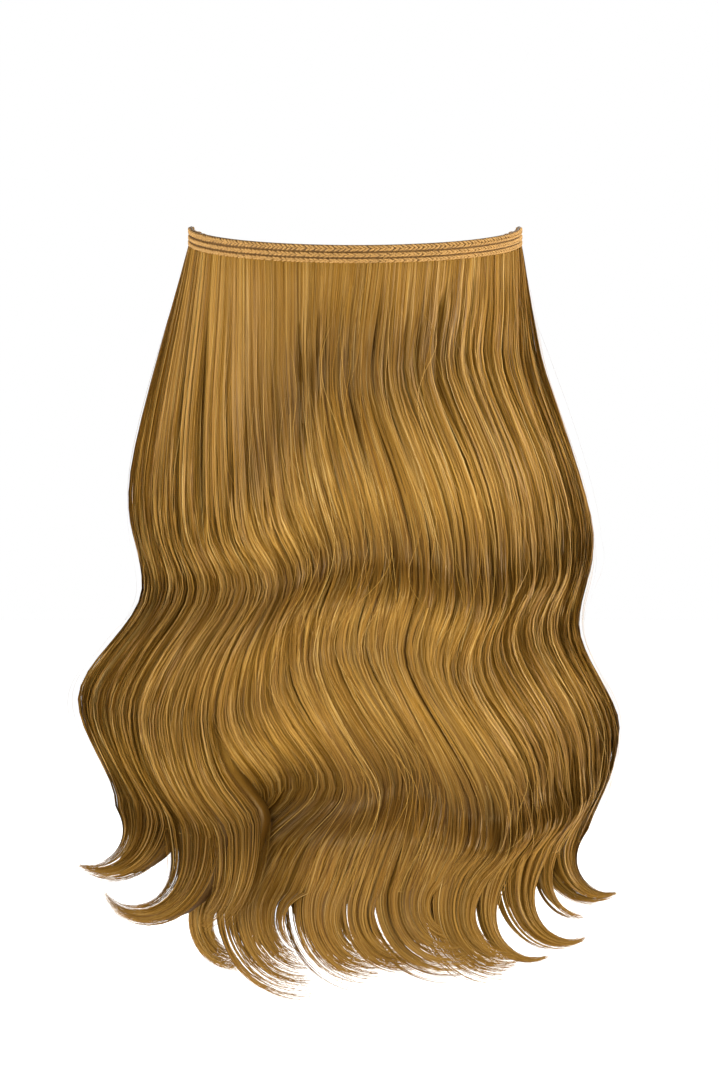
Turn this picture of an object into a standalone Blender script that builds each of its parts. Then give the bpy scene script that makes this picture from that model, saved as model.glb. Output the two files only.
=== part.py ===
"""Clip-in hairpiece: a curved three-row weft with snap clips inside and long waved hair below.

Metres, +Z up. The origin is on the head's surface at the middle of the back, at mid-height of the
weft. The wearer faces +Y, so the side that shows when worn faces -Y, with +X to its right.
"""

import math
from collections import namedtuple
from functools import lru_cache

import bmesh
import bpy
from mathutils import Matrix, Vector

MM = 0.001

# The head where the piece is clipped on
HEAD_HALF_WIDTH = 95.0 * MM
HEAD_DEPTH = 92.0 * MM  # from the back of the head forward to the ends of the weft
WEFT_RISE = 19.0 * MM  # the ends sit this much higher than the middle
WEFT_HALF_ANGLE = 90.0  # degrees round the head, each way from the middle

# Clips
CLIP_WIDTH = 32.0 * MM
CLIP_HEIGHT = 14.5 * MM
CLIP_THICKNESS = 1.6 * MM
CLIP_BAR_HEIGHT = 4.2 * MM
CLIP_RIM = 2.2 * MM
CLIP_FOOT_WIDTH = 22.0 * MM
CLIP_TOP = 4.0 * MM  # above the weft's mid-height
TOOTH_WIDTH = 1.3 * MM
TOOTH_LENGTH = 6.2 * MM
TOOTH_COUNT = 6
SEWING_HOLE_RADIUS = 0.8 * MM
SEWING_HOLE_SPACING = 10.5 * MM

# Weft rows, from the top down
UPPER_ROW_HEIGHT = 4.2 * MM
MIDDLE_ROW_HEIGHT = 3.2 * MM
LOWER_ROW_HEIGHT = 3.0 * MM
ROW_THICKNESS = 3.0 * MM
ROW_STEPS = 36

# Gaps
SEWN_GAP = 0.3 * MM  # between pieces that are sewn together
PARTING_GAP = 0.6 * MM  # between two sections of hair at their roots

# Hair
HAIR_DROP = 413.0 * MM  # from the weft to the lowest curls
HEM_HALF_WIDTH = 150.0 * MM
HEM_DEPTH = 62.0 * MM  # front to back of the hair at its ends
BACK_BULGE = 9.0 * MM  # how far the hair leans out over the shoulders
HAIR_THICKNESS = 17.0 * MM  # at its fullest
LOCK_RELIEF = 4.2 * MM  # how deep the furrow between two locks is
LOCK_VARIETY = 0.35  # how much locks differ in width, as a share of their mean width
WAVE_DEPTH = 11.0 * MM  # how deep the hollows of the waves are
SIDE_SWAY = 11.0 * MM  # forward and back wave of the hair at the sides
SLIDE = 1.5  # how far a section slides behind its neighbour, as a share of how far it is sunk
TIP_LIFT = 8.0 * MM  # how far a curled end stands out or in, turn about
TIP_SIZE = 0.12  # a lock's end as a share of its full section
TIP_VARIETY = 0.16  # how much the curled ends differ in length and turn

# Rings of the hair's mesh along each stretch from one bend to the next, and along the curled end
RINGS_PER_BEND = (3, 4, 4, 5, 4)
TIP_RINGS = 7
OUTER_STEPS = 3  # points across one lock, outside
INNER_STEPS = 2  # points across one lock, inside

# Lines that the hair follows, from left to right. root: degrees round the head. sides and drops:
# where the hair bends left, right, left, right and left, as shares of HEM_HALF_WIDTH from the
# middle and of HAIR_DROP below the weft. turn and length: how far the end curls, in degrees to the
# right, over what share of HAIR_DROP.
Line = namedtuple("Line", "root sides drops turn length")
LINES = (
    Line(-90, (-0.93, -0.87, -1.12, -0.96, -0.98), (0.32, 0.46, 0.62, 0.77, 0.89), 60, 0.10),
    Line(-52, (-0.59, -0.51, -0.72, -0.56, -0.64), (0.32, 0.46, 0.65, 0.81, 0.91), 70, 0.08),
    Line(-38, (-0.41, -0.31, -0.43, -0.28, -0.49), (0.30, 0.45, 0.62, 0.76, 0.90), 75, 0.09),
    Line(-26, (-0.29, -0.19, -0.27, -0.05, -0.20), (0.25, 0.43, 0.57, 0.76, 0.89), 88, 0.11),
    Line(-4, (-0.08, 0.06, -0.03, 0.20, 0.08), (0.16, 0.41, 0.54, 0.73, 0.89), 80, 0.10),
    Line(6, (0.03, 0.20, 0.14, 0.41, 0.32), (0.16, 0.41, 0.54, 0.77, 0.87), 85, 0.10),
    Line(16, (0.16, 0.38, 0.31, 0.62, 0.49), (0.15, 0.42, 0.56, 0.78, 0.88), 95, 0.11),
    Line(27, (0.28, 0.51, 0.43, 0.69, 0.58), (0.14, 0.42, 0.57, 0.76, 0.86), 112, 0.10),
    Line(55, (0.55, 0.78, 0.68, 0.91, 0.80), (0.12, 0.39, 0.52, 0.72, 0.83), 110, 0.08),
    Line(90, (0.76, 0.97, 0.90, 1.06, 0.93), (0.12, 0.38, 0.51, 0.66, 0.80), 108, 0.09),
)

# The locks at the far left curl out to the left from the fourth bend.
Flick = namedtuple("Flick", "root turn length")
LEFT_FLICKS = (Flick(-90, -108, 0.11), Flick(-52, -112, 0.05), Flick(-45, -95, 0.04))

# How thick the hair is and how deep its hollows are, at the root and at each bend
THICKNESS_SHARES = (0.0, 0.62, 0.80, 0.95, 1.0, 0.85)
HOLLOW_SHARES = (0.0, 0.15, 0.8, 0.45, 1.0, 0.5)
SPREAD_SHARES = (0.0, 0.25, 0.55, 0.8, 1.0, 1.0)  # from the head's depth to the hem's

# Sections of hair between the partings. first and last: degrees. bends: how many bends its locks
# make before their curled ends. fan: how far its ends fan out, from 0, where they all make the
# same curl, to 1, where they curl round one point. sink: how far its left edge lies behind the
# section to its left below the third bend, as a share of HAIR_THICKNESS.
Section = namedtuple("Section", "name first last locks bends fan sink")
SECTIONS = (
    Section("hair_far_left", -WEFT_HALF_ANGLE, -45, 5, 4, 0.7, 0.0),
    Section("hair_left", -45, -14, 5, 5, 0.15, 1.2),
    Section("hair_centre", -14, 19, 6, 5, 0.15, 0.0),
    Section("hair_right", 19, 52, 5, 5, 0.5, 0.0),
    Section("hair_far_right", 52, WEFT_HALF_ANGLE, 5, 5, 0.9, 0.0),
)

CLIP_ANGLES = {
    "clip_far_left": -72.0,
    "clip_left": -36.0,
    "clip_centre": 0.0,
    "clip_right": 36.0,
    "clip_far_right": 72.0,
}

HAIR_COLOUR = (0.46, 0.27, 0.07, 1.0)
WEFT_COLOUR = (0.42, 0.25, 0.09, 1.0)
CLIP_COLOUR = (0.20, 0.12, 0.05, 1.0)


# Shared shape of the head

WEFT_HEIGHT = UPPER_ROW_HEIGHT + MIDDLE_ROW_HEIGHT + LOWER_ROW_HEIGHT + 2 * SEWN_GAP
CLIP_SAGITTA = CLIP_WIDTH**2 / 8 * HEAD_HALF_WIDTH / HEAD_DEPTH**2
WEFT_INNER = CLIP_THICKNESS + CLIP_SAGITTA + SEWN_GAP  # outward from the head
WEFT_OUTER = WEFT_INNER + ROW_THICKNESS


def outward(angle):
    """Level direction away from the head at this angle round it, in degrees."""
    turned = math.radians(angle)
    return Vector((math.sin(turned), -math.cos(turned), 0.0))


def rise(angle):
    return WEFT_RISE * (1 - math.cos(math.radians(angle)))


def head_point(angle, out, height):
    """A point this far out from the head and above the weft's mid-height, which rises to its ends."""
    turned = math.radians(angle)
    across = (HEAD_HALF_WIDTH + out) * math.sin(turned)
    forward = HEAD_DEPTH - (HEAD_DEPTH + out) * math.cos(turned)
    return Vector((across, forward, rise(angle) + height))


# Smooth curves

def smooth(knots, values, at):
    """The value at this place on a curve through these values that turns only at them."""
    steps = [b - a for a, b in zip(knots, knots[1:])]
    grades = [(b - a) / s for a, b, s in zip(values, values[1:], steps)]
    slopes = [grades[0]]
    for before, after in zip(grades, grades[1:]):
        same_way = before * after > 0
        slopes.append(2 * before * after / (before + after) if same_way else 0.0)
    slopes.append(grades[-1])
    i = max(0, min(len(steps) - 1, sum(at >= k for k in knots) - 1))
    t = (at - knots[i]) / steps[i]
    rest = 1 - t
    start = values[i] * (1 + 2 * t) + slopes[i] * steps[i] * t
    end = values[i + 1] * (1 + 2 * rest) - slopes[i + 1] * steps[i] * rest
    return start * rest * rest + end * t * t


# Hair

@lru_cache(maxsize=None)
def line_at(angle):
    """The line that hair rooted at this angle follows, between its two neighbours in LINES."""
    roots = [line.root for line in LINES]

    def column(pick):
        return smooth(roots, [pick(line) for line in LINES], angle)

    root = head_point(angle, WEFT_OUTER, 0.0)
    sides = [root.x / HEM_HALF_WIDTH]
    drops = [-rise(angle) / HAIR_DROP]
    for bend in range(len(LINES[0].sides)):
        sides.append(column(lambda line: line.sides[bend]))
        drops.append(column(lambda line: line.drops[bend]))
    return Line(
        angle,
        tuple(sides),
        tuple(drops),
        column(lambda line: line.turn),
        column(lambda line: line.length),
    )


def thickness(bend):
    grown = smooth(range(len(THICKNESS_SHARES)), THICKNESS_SHARES, bend)
    return ROW_THICKNESS + (HAIR_THICKNESS - ROW_THICKNESS) * grown


def ease(share):
    share = max(0.0, min(1.0, share))
    return share * share * (3 - 2 * share)


def unlike(number):
    """A share from -1 to 1 that is different for each lock."""
    return math.sin(2.4 * number)


def hair_point(angle, bend, inward):
    """A point of the hair. bend: 0 at the root, 1 at the first bend and so on. inward: 0 outside
    and 1 on the side of the head."""
    line = line_at(angle)
    turned = math.radians(angle)
    side = smooth(range(len(line.sides)), line.sides, bend)
    drop = smooth(range(len(line.drops)), line.drops, bend)
    thick = thickness(bend)
    spread = smooth(range(len(SPREAD_SHARES)), SPREAD_SHARES, bend)
    depth = HEAD_DEPTH + WEFT_OUTER + (HEM_DEPTH - HEAD_DEPTH - WEFT_OUTER) * spread
    back = WEFT_INNER + thick + BACK_BULGE * spread
    hollow = WAVE_DEPTH * smooth(range(len(HOLLOW_SHARES)), HOLLOW_SHARES, bend)
    hollow *= (1 + math.cos(2 * math.pi * bend)) / 2 * math.cos(turned)
    sway = SIDE_SWAY * ease(bend / 2) * math.cos(math.pi * bend) * math.sin(turned)
    point = Vector((side * HEM_HALF_WIDTH, depth * (1 - math.cos(turned)) - back + sway, 0.0))
    point -= outward(angle) * (hollow + inward * thick)
    point.z = -WEFT_HEIGHT / 2 - SEWN_GAP - drop * HAIR_DROP
    return point


def across_lock(first, last, share, bend):
    """(angle, depth of the furrow) at this share of a lock's width."""
    relief = LOCK_RELIEF * ease(bend) * (1 - math.sin(math.pi * share))
    return first + (last - first) * share, relief / thickness(bend)


def sunk_point(section, angle, bend, inward):
    """A point of the hair, moved back and left where its section goes behind the one before it."""
    from_right = (section.last - angle) / (section.last - section.first)
    sunk = section.sink * HAIR_THICKNESS * ease(bend - 3) * ease(1.6 * from_right)
    along = Vector((-1.0, HEM_DEPTH / HEM_HALF_WIDTH, 0.0))
    slid = along * sunk * SLIDE * ease(bend - 3.4)
    return hair_point(angle, bend, inward) - outward(section.first) * sunk + slid


def ring(section, first, last, bend):
    """(outer points, inner points) across one lock, left to right."""
    outer, inner = [], []
    for step in range(OUTER_STEPS + 1):
        angle, relief = across_lock(first, last, step / OUTER_STEPS, bend)
        outer.append(sunk_point(section, angle, bend, relief))
    for step in range(INNER_STEPS + 1):
        angle, relief = across_lock(first, last, step / INNER_STEPS, bend)
        inner.append(sunk_point(section, angle, bend, 1 - relief / 2))
    return outer, inner


def curled_end(section, lock, first, last):
    """The transforms that carry a lock's last ring along its curled end, one for each ring."""
    middle = (first + last) / 2
    if section.bends == len(LINES[0].sides):
        turn, length = line_at(middle).turn, line_at(middle).length
    else:
        roots = [flick.root for flick in LEFT_FLICKS]
        turn = smooth(roots, [flick.turn for flick in LEFT_FLICKS], middle)
        length = smooth(roots, [flick.length for flick in LEFT_FLICKS], middle)
    turn *= 1 + TIP_VARIETY * unlike(lock)
    length *= 1 + TIP_VARIETY * unlike(lock + 5)
    end = float(section.bends)
    start = sunk_point(section, middle, end, 0.5)
    heading = (start - sunk_point(section, middle, end - 0.01, 0.5)).normalized()
    pivot = hair_point(section.last if turn > 0 else section.first, end, 0.5)
    arm = (start - pivot) * section.fan
    step = length * HAIR_DROP / TIP_RINGS
    stand = TIP_LIFT * (1 - section.fan) * (1 if lock % 2 else -0.6)
    point, carried = start.copy(), []
    for number in range(1, TIP_RINGS + 1):
        done, half_done = number / TIP_RINGS, (number - 0.5) / TIP_RINGS
        half_turn = Matrix.Rotation(-math.radians(turn) * half_done**1.4, 4, "Y")
        point = point + (half_turn @ heading) * step
        lift = Vector((0.0, -stand * done**1.6, 0.0))
        size = TIP_SIZE + (1 - TIP_SIZE) * (1 - done**1.2)
        turned = Matrix.Rotation(-math.radians(turn) * done**1.4, 4, "Y")
        swing = turned @ arm - arm
        place = Matrix.Translation(point + swing + lift) @ turned @ Matrix.Scale(size, 4)
        carried.append(place @ Matrix.Translation(-start))
    return carried


def hair_rings(bends):
    """Places from the root to the last bend, as bend numbers."""
    places = [0.0]
    for bend in range(bends):
        count = RINGS_PER_BEND[bend]
        places += [bend + (step + 1) / count for step in range(count)]
    return places


def build_hair(section, material):
    """One section: locks side by side in one closed body, each with a curled end of its own."""
    margin = math.degrees(PARTING_GAP / 2 / HEAD_HALF_WIDTH)
    first, last = section.first + margin, section.last - margin
    spacing = (last - first) / section.locks
    edges = [first + spacing * lock for lock in range(section.locks + 1)]
    for lock in range(1, section.locks):
        edges[lock] += spacing * LOCK_VARIETY * unlike(lock + first)
    mesh = bmesh.new()
    rings = []
    for bend in hair_rings(section.bends):
        outer, inner = [], []
        for left, right in zip(edges, edges[1:]):
            lock_outer, lock_inner = ring(section, left, right, bend)
            outer += lock_outer if not outer else lock_outer[1:]
            inner += lock_inner if not inner else lock_inner[1:]
        rings.append(([mesh.verts.new(p) for p in outer], [mesh.verts.new(p) for p in inner]))
    for (outer, inner), (outer_below, inner_below) in zip(rings, rings[1:]):
        join_strips(mesh, outer_below, outer)
        join_strips(mesh, inner, inner_below)
        mesh.faces.new((inner[0], inner_below[0], outer_below[0], outer[0]))
        mesh.faces.new((outer[-1], outer_below[-1], inner_below[-1], inner[-1]))
    for lock, (left, right) in enumerate(zip(edges, edges[1:])):
        mesh.faces.new(loop_round(rings[0], lock))
        loop = loop_round(rings[-1], lock)
        home = [vert.co.copy() for vert in loop]
        for carry in curled_end(section, lock, left, right):
            below = [mesh.verts.new(carry @ point) for point in home]
            join_strips(mesh, below + below[:1], loop + loop[:1])
            loop = below
        mesh.faces.new(loop[::-1])
    return finish(section.name, mesh, material)


def join_strips(mesh, near, far):
    for i in range(len(near) - 1):
        mesh.faces.new((near[i], near[i + 1], far[i + 1], far[i]))


def loop_round(level, lock):
    """The points round one lock on this ring of its section."""
    outer = level[0][lock * OUTER_STEPS : (lock + 1) * OUTER_STEPS + 1]
    inner = level[1][lock * INNER_STEPS : (lock + 1) * INNER_STEPS + 1]
    return outer + inner[::-1]


# Weft

def build_row(name, top, height, material):
    """One sewn row of the weft: a rounded strip round the head."""
    cut = min(height, ROW_THICKNESS) * 0.28
    low, high = top - height, top
    near, far = WEFT_INNER, WEFT_OUTER
    profile = [
        (near, low + cut),
        (near, high - cut),
        (near + cut, high),
        (far - cut, high),
        (far, high - cut),
        (far, low + cut),
        (far - cut, low),
        (near + cut, low),
    ]
    mesh = bmesh.new()
    loops = []
    for step in range(ROW_STEPS + 1):
        angle = WEFT_HALF_ANGLE * (2 * step / ROW_STEPS - 1)
        loops.append([mesh.verts.new(head_point(angle, out, up)) for out, up in profile])
    for before, after in zip(loops, loops[1:]):
        join_strips(mesh, before + before[:1], after + after[:1])
    mesh.faces.new(loops[0][::-1])
    mesh.faces.new(loops[-1])
    return finish(name, mesh, material)


# Clips

def clip_outline():
    """Outer edge of a clip, seen from the head: a straight bar on top and a rounded foot."""
    half, foot, corner = CLIP_WIDTH / 2, CLIP_FOOT_WIDTH / 2, CLIP_RIM * 1.6
    bottom = CLIP_TOP - CLIP_HEIGHT
    points = [(-half, CLIP_TOP), (half, CLIP_TOP), (half, CLIP_TOP - CLIP_BAR_HEIGHT)]
    for quarter in range(5):
        turned = math.radians(90 * quarter / 4)
        across, down = corner * (1 - math.cos(turned)), corner * (1 - math.sin(turned))
        points.append((foot - across, bottom + down))
    points += [(-x, z) for x, z in reversed(points[3:])]
    points.append((-half, CLIP_TOP - CLIP_BAR_HEIGHT))
    return points


def clip_window():
    """Edge of the opening between bar and rim, with the comb's teeth reaching down into it."""
    top, bottom = CLIP_TOP - CLIP_BAR_HEIGHT, CLIP_TOP - CLIP_HEIGHT + CLIP_RIM
    wide, narrow = CLIP_WIDTH / 2 - CLIP_RIM, CLIP_FOOT_WIDTH / 2 - CLIP_RIM
    points = [(-narrow, bottom), (narrow, bottom), (wide, top)]
    reach = narrow - TOOTH_WIDTH
    for tooth in reversed(range(TOOTH_COUNT)):
        middle = reach * (2 * tooth / (TOOTH_COUNT - 1) - 1)
        half = TOOTH_WIDTH / 2
        points += [(middle + half, top), (middle + half * 0.6, top - TOOTH_LENGTH)]
        points += [(middle - half * 0.6, top - TOOTH_LENGTH), (middle - half, top)]
    points.append((-wide, top))
    return points


def sewing_hole(middle):
    centre = CLIP_TOP - CLIP_BAR_HEIGHT / 2
    corners = [math.radians(60 * corner) for corner in range(6)]
    return [
        (middle + SEWING_HOLE_RADIUS * math.cos(a), centre + SEWING_HOLE_RADIUS * math.sin(a))
        for a in corners
    ]


def build_clip_mesh():
    """A flat clip lying in its own XZ plane, its head side at y = 0 and its back at -Y."""
    mesh = bmesh.new()
    holes = [sewing_hole(SEWING_HOLE_SPACING * side) for side in (-1, 0, 1)]
    for outline in (clip_outline(), clip_window(), *holes):
        verts = [mesh.verts.new((x, 0.0, z)) for x, z in outline]
        for a, b in zip(verts, verts[1:] + verts[:1]):
            mesh.edges.new((a, b))
    bmesh.ops.triangle_fill(mesh, edges=mesh.edges[:], use_beauty=True)
    grown = bmesh.ops.extrude_face_region(mesh, geom=mesh.faces[:])
    moved = [item for item in grown["geom"] if isinstance(item, bmesh.types.BMVert)]
    bmesh.ops.translate(mesh, verts=moved, vec=(0.0, -CLIP_THICKNESS, 0.0))
    bmesh.ops.recalc_face_normals(mesh, faces=mesh.faces[:])
    made = bpy.data.meshes.new("clip")
    mesh.to_mesh(made)
    mesh.free()
    return made


def build_clip(name, angle, shape, material):
    """A clip laid flat inside the weft, its ends a sewn gap from it, tilted as the weft rises."""
    turned = math.radians(angle)
    along = Vector((HEAD_HALF_WIDTH * math.cos(turned), HEAD_DEPTH * math.sin(turned)))
    slope = WEFT_RISE * math.sin(turned) / along.length
    clip = bpy.data.objects.new(name, shape)
    clip.location = head_point(angle, 0.0, 0.0)
    heading = Matrix.Rotation(math.atan2(along.y, along.x), 4, "Z")
    tilt = Matrix.Rotation(-math.atan(slope), 4, "Y")
    clip.rotation_euler = (heading @ tilt).to_euler()
    bpy.context.scene.collection.objects.link(clip)
    return clip


# Assembly

def material(name, colour, roughness, metallic=0.0):
    made = bpy.data.materials.new(name)
    made.use_nodes = True
    shader = made.node_tree.nodes["Principled BSDF"]
    shader.inputs["Base Color"].default_value = colour
    shader.inputs["Roughness"].default_value = roughness
    shader.inputs["Metallic"].default_value = metallic
    return made


def finish(name, mesh, look):
    """Makes an object of the mesh, shaded smooth except along its hard edges."""
    made = bpy.data.meshes.new(name)
    mesh.to_mesh(made)
    mesh.free()
    made.materials.append(look)
    made.shade_smooth()
    made.set_sharp_from_angle(angle=math.radians(50))
    item = bpy.data.objects.new(name, made)
    bpy.context.scene.collection.objects.link(item)
    return item


def main():
    for item in list(bpy.data.objects):
        bpy.data.objects.remove(item)
    hair = material("hair", HAIR_COLOUR, 0.45)
    thread = material("weft", WEFT_COLOUR, 0.8)
    metal = material("clip", CLIP_COLOUR, 0.4, 0.6)

    top = WEFT_HEIGHT / 2
    rows = (
        ("weft_row_upper", UPPER_ROW_HEIGHT),
        ("weft_row_middle", MIDDLE_ROW_HEIGHT),
        ("weft_row_lower", LOWER_ROW_HEIGHT),
    )
    for name, height in rows:
        build_row(name, top, height, thread)
        top -= height + SEWN_GAP

    for section in SECTIONS:
        build_hair(section, hair)

    shape = build_clip_mesh()
    shape.materials.append(metal)
    for name, angle in CLIP_ANGLES.items():
        build_clip(name, angle, shape, metal)


main()
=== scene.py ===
"""The looks of the clip-in hairpiece: its strands of hair, sewn weft, snap clips and studio.

Metres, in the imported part's frame: +Z up, the wearer facing +Y, the side that shows facing -Y.
"""

import math
from collections import namedtuple

import bmesh
import bpy
import numpy as np
from mathutils import Matrix, Vector


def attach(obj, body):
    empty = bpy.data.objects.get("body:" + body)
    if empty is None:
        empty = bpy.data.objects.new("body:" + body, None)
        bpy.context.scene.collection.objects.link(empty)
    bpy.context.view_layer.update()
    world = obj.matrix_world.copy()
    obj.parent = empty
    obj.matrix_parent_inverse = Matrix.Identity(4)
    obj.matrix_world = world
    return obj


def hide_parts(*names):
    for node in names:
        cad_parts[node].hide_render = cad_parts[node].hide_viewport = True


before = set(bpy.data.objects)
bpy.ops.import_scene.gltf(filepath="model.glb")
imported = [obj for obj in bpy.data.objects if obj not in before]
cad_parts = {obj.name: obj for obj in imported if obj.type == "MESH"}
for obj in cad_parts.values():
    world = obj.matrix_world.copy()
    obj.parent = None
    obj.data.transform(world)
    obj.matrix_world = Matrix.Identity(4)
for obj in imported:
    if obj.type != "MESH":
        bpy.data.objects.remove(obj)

MM = 0.001
RANDOM = np.random.default_rng(7)

# Sizes of the part

HEAD_HALF_WIDTH = 95.0 * MM
HEAD_DEPTH = 92.0 * MM
WEFT_RISE = 19.0 * MM
WEFT_HALF_ANGLE = 90.0
CLIP_WIDTH = 32.0 * MM
CLIP_HEIGHT = 14.5 * MM
CLIP_THICKNESS = 1.6 * MM
CLIP_BAR_HEIGHT = 4.2 * MM
CLIP_RIM = 2.2 * MM
CLIP_FOOT_WIDTH = 22.0 * MM
CLIP_TOP = 4.0 * MM
TOOTH_WIDTH = 1.3 * MM
TOOTH_LENGTH = 6.2 * MM
TOOTH_COUNT = 6
SEWING_HOLE_RADIUS = 0.8 * MM
SEWING_HOLE_SPACING = 10.5 * MM
SEWING_SIDES = (-1, 0, 1)
SEWING_HEIGHT = CLIP_TOP - CLIP_BAR_HEIGHT / 2
CLIP_ANGLES = {
    "clip_far_left": -72,
    "clip_left": -36,
    "clip_centre": 0,
    "clip_right": 36,
    "clip_far_right": 72,
}
ROW_HEIGHTS = {
    "weft_row_upper": 4.2 * MM,
    "weft_row_middle": 3.2 * MM,
    "weft_row_lower": 3.0 * MM,
}
ROW_THICKNESS = 3.0 * MM
SEWN_GAP = 0.3 * MM
HAIR_DROP = 413.0 * MM
HEM_HALF_WIDTH = 150.0 * MM
HEM_DEPTH = 62.0 * MM
BACK_BULGE = 9.0 * MM
HAIR_THICKNESS = 17.0 * MM
LOCK_VARIETY = 0.35
WAVE_DEPTH = 11.0 * MM
SIDE_SWAY = 11.0 * MM
SLIDE = 1.5
SWAY_BENDS = 2  # bends that the sway grows over
SINK_BEND, SLIDE_BEND = 3, 3.4  # where a section starts to sink and slide behind the next
SINK_EDGE = 1.6
TIP_LIFT = 8.0 * MM
TIP_LIFT_SHARES = (-0.3, 0.6)  # of it, for every other tuft

Line = namedtuple("Line", "root sides drops")
LINES = (
    Line(-90, (-0.93, -0.87, -1.12, -0.96, -0.98), (0.32, 0.46, 0.62, 0.77, 0.89)),
    Line(-52, (-0.59, -0.51, -0.72, -0.56, -0.64), (0.32, 0.46, 0.65, 0.81, 0.91)),
    Line(-38, (-0.41, -0.31, -0.43, -0.28, -0.49), (0.30, 0.45, 0.62, 0.76, 0.90)),
    Line(-26, (-0.29, -0.19, -0.27, -0.05, -0.20), (0.25, 0.43, 0.57, 0.76, 0.89)),
    Line(-4, (-0.08, 0.06, -0.03, 0.20, 0.08), (0.16, 0.41, 0.54, 0.73, 0.89)),
    Line(6, (0.03, 0.20, 0.14, 0.41, 0.32), (0.16, 0.41, 0.54, 0.77, 0.87)),
    Line(16, (0.16, 0.38, 0.31, 0.62, 0.49), (0.15, 0.42, 0.56, 0.78, 0.88)),
    Line(27, (0.28, 0.51, 0.43, 0.69, 0.58), (0.14, 0.42, 0.57, 0.76, 0.86)),
    Line(55, (0.55, 0.78, 0.68, 0.91, 0.80), (0.12, 0.39, 0.52, 0.72, 0.83)),
    Line(90, (0.76, 0.97, 0.90, 1.06, 0.93), (0.12, 0.38, 0.51, 0.66, 0.80)),
)
THICKNESS_SHARES = (0.0, 0.62, 0.80, 0.95, 1.0, 0.85)
HOLLOW_SHARES = (0.0, 0.15, 0.8, 0.45, 1.0, 0.5)
SPREAD_SHARES = (0.0, 0.25, 0.55, 0.8, 1.0, 1.0)
Section = namedtuple("Section", "name first last locks bends sink")
SECTIONS = (
    Section("hair_far_left", -WEFT_HALF_ANGLE, -45, 5, 4, 0.0),
    Section("hair_left", -45, -14, 5, 5, 1.2),
    Section("hair_centre", -14, 19, 6, 5, 0.0),
    Section("hair_right", 19, 52, 5, 5, 0.0),
    Section("hair_far_right", 52, WEFT_HALF_ANGLE, 5, 5, 0.0),
)

WEFT_HEIGHT = sum(ROW_HEIGHTS.values()) + 2 * SEWN_GAP
CLIP_SAGITTA = CLIP_WIDTH**2 / 8 * HEAD_HALF_WIDTH / HEAD_DEPTH**2
WEFT_INNER = CLIP_THICKNESS + CLIP_SAGITTA + SEWN_GAP
WEFT_OUTER = WEFT_INNER + ROW_THICKNESS

# Strands

STRANDS_PER_SECTION = 1500
STRAND_WIDTH = 0.62 * MM
INNER_SHARE = 0.26  # of the strands lie on the head's side
CLUMPS_PER_LOCK = 6
CLUMP_PULL = 0.24  # how far strands are drawn to the middle of their clump
CLUMP_RELIEF = 0.9 * MM
CLUMP_WANDER = 1.2 * MM
STRAND_WANDER = 0.55 * MM
STRAND_DEPTH = 0.9 * MM  # how deep the outer layer of strands is
STRAND_LEAN = 20.0  # degrees that strands lean from the surface
STEPS_PER_BEND = 8
LANE_WIDTH = 1 / 700  # of a strand on the map
MAP_BENDS = 6.6  # the map's height, where a curled end counts as TIP_BENDS
TIP_BENDS = 1.5
MAP_MARGIN = 0.01
TIP_STEPS = 13
TIP_POWER = 1.6  # how late a curl leaves the hair's own depth
CURL_DEPTH = 0.4  # of the thickness, where the curls start
CURL_POINTS = 61
STRAND_SPLAY = 2.8 * MM
MOST_SPLAY = 1.8  # of the splay
STRAND_LOCK_RELIEF = 2.2 * MM
STRAND_ROOM = 8 * MM  # hair this thick has room for strands and clumps at their full depth
WAVE_ROOM = 10 * MM  # and this thick, for hollows and partings
CLUMP_BENDS = 1.5  # from the weft to where clumps are drawn together in full
CLUMP_WAVES = (0.45, 0.5)  # in a bend, sideways and in depth
STRAND_WAVES = (0.6, 0.8)
WAVE_SIZES = (1.0, 0.55)  # of the two waves that a strand wanders in
WAVE_TOTAL = 1.3
HEAVE_SHARE = 0.5  # of the wander goes in depth
ROOT_OFFSET = (0.8 * MM, 2.0 * MM)  # strands start this far inside and above their first place
TAPER_FROM, TAPER = 0.78, 0.85
TWIST = 0.2
SIDES_MIDDLE, SIDES_FROM, SIDES_FADE = -4, 30, 24  # degrees: where the side lanes, with their own painted shade and highlight bands, take over
SIDE_LANES = 0.5  # of the map is for the hair at the sides

# Tones of the strands: how many take the first and the first two, and the lanes of each
BROAD_TONE = 0.4
TONE_SHARES = (0.45, 0.65)
TONE_LANES = np.array([(0.005, 0.12), (0.13, 0.185), (0.195, 0.485)])

# Tapered ends of the hair: which lines they gather, how they turn, and how wide they end
Tuft = namedtuple("Tuft", "first last turn length delay size fan")
TUFTS = {
    "hair_far_left": (
        Tuft(-90, -71, -118, 0.135, 1.2, 0.06, 0.2),
        Tuft(-71, -54, -165, 0.220, 1.6, 0.06, 0.1),
        Tuft(-54, -45, -60, 0.150, 1.6, 0.5, 0.1),
    ),
    "hair_left": (
        Tuft(-45, -35, 122, 0.128, 1.1, 0.70, 0.0),
        Tuft(-35, -24, 116, 0.138, 1.1, 0.75, 0.0),
        Tuft(-24, -14, 118, 0.142, 1.1, 0.75, 0.0),
    ),
    "hair_centre": (
        Tuft(-14, -4, 122, 0.142, 1.1, 0.75, 0.0),
        Tuft(-4, 7, 124, 0.140, 1.1, 0.70, 0.0),
        Tuft(7, 19, 128, 0.150, 1.15, 0.55, 0.0),
    ),
    "hair_right": (
        Tuft(19, 33, 138, 0.178, 1.5, 0.08, 0.0),
        Tuft(33, 52, 138, 0.175, 1.5, 0.06, 0.05),
    ),
    "hair_far_right": (
        Tuft(52, 60, 108, 0.125, 1.4, 0.12, 0.1),
        Tuft(60, 90, 126, 0.125, 1.25, 0.05, 0.2),
    ),
}

WAVE_HOLLOWS = np.array([0, 4.0, 3.5, 1.5, 4.0, 2.5]) * MM  # at the bends, besides the part's own

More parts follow.
